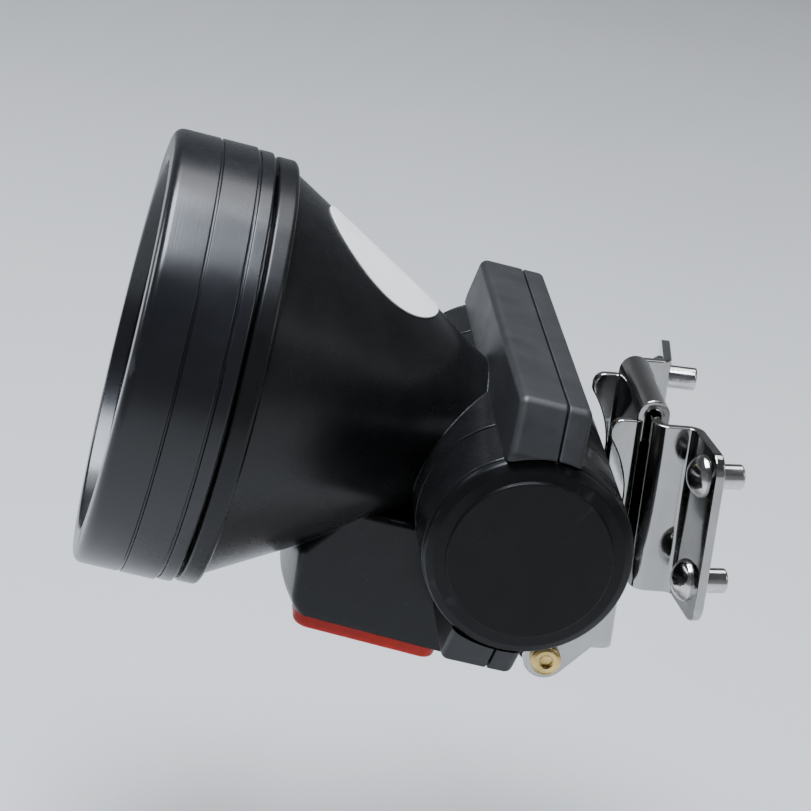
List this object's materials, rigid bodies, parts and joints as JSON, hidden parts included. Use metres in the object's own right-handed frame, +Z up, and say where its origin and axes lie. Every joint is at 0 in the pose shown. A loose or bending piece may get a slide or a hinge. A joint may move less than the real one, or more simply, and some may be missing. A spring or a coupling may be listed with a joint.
{
  "type": "miner's cap lamp",
  "caption": "Cordless miner's cap lamp: conical head with round window and battery drum, tilting on a steel hanger that hooks into a riveted helmet bracket.",
  "frame": {"origin": "centre of the four rivet axes where they leave the bracket's helmet side", "axes": "+X forward out of the helmet, +Y the wearer's left, +Z up; the bracket's height lies along Z"},
  "size_m": [0.0815, 0.0608, 0.0652],
  "materials": {
    "bracket_steel": "bright nickel plate with fine forming marks",
    "rivet_steel": "bright nickel plate",
    "hanger_steel": "bright nickel plate, brushed on the bends",
    "pivot_brass": "yellow zinc, worn",
    "nut_steel": "zinc plated",
    "washer_nylon": "natural nylon",
    "housing_black": "semi-gloss moulded ABS",
    "cap_black": "semi-gloss moulded ABS",
    "bezel_black": "semi-gloss moulded ABS",
    "seal_rubber": "soft black rubber",
    "screw_steel": "zinc plated",
    "contact_brass": "polished brass",
    "label_white": "satin blank film",
    "lens_clear": "clear polycarbonate",
    "reflector_chrome": "vacuum metallised",
    "sink_aluminium": "machined",
    "board_white": "white solder mask on aluminium",
    "led_yellow": "phosphor under silicone dome",
    "wire_red": "silicone insulation",
    "cell_blue": "shrink sleeve",
    "nickel": "nickel strip",
    "foam": "closed-cell foam",
    "board_green": "solder mask",
    "part_black": "moulded component body",
    "plunger_ivory": "nylon",
    "pad_red": "semi-gloss silicone rubber"
  },
  "bodies": {
    "bracket": {"bracket_plate": "bracket_steel", "bracket_rivets": "rivet_steel"},
    "hanger": {"hanger_plate": "hanger_steel", "pivot_screw": "pivot_brass", "pivot_nut": "nut_steel", "pivot_washers": "washer_nylon"},
    "lamp": {"front_housing": "housing_black", "rear_cover": "housing_black", "pivot_bush": "pivot_brass", "housing_seals": "seal_rubber", "cover_screws": "screw_steel", "left_drum_cap": "cap_black", "right_drum_cap": "cap_black", "drum_cap_seals": "seal_rubber", "charge_contacts": "contact_brass", "top_label": "label_white", "bezel_ring": "bezel_black", "lens": "lens_clear", "lens_seal": "seal_rubber", "reflector": "reflector_chrome", "heat_sink": "sink_aluminium", "led_board": "board_white", "main_led": "led_yellow", "led_screws": "screw_steel", "led_leads": "wire_red", "battery_cell": "cell_blue", "cell_terminal": "nickel", "cell_tabs": "nickel", "cell_pads": "foam", "protection_board": "board_green", "battery_leads": "wire_red", "driver_board": "board_green", "driver_parts": "part_black", "switch_body": "part_black"},
    "pad": {"push_pad": "pad_red", "switch_plunger": "plunger_ivory"}
  },
  "joints": [
    {"name": "hanger_lift", "type": "slide", "parent": "bracket", "child": "hanger", "axis": [0, 0, 1], "range_m": [0, 0.016]},
    {"name": "lamp_tilt", "type": "hinge", "parent": "hanger", "child": "lamp", "pos_m": [0.0158, 0, -0.0235], "axis": [0, 1, 0], "range_deg": [-2, 40]},
    {"name": "pad_press", "type": "slide", "parent": "lamp", "child": "pad", "axis": [-0.1633, 0, 0.9866], "range_m": [0, 0.001], "stiffness_N_per_m": 1500, "springref_m": -0.0003}
  ]
}
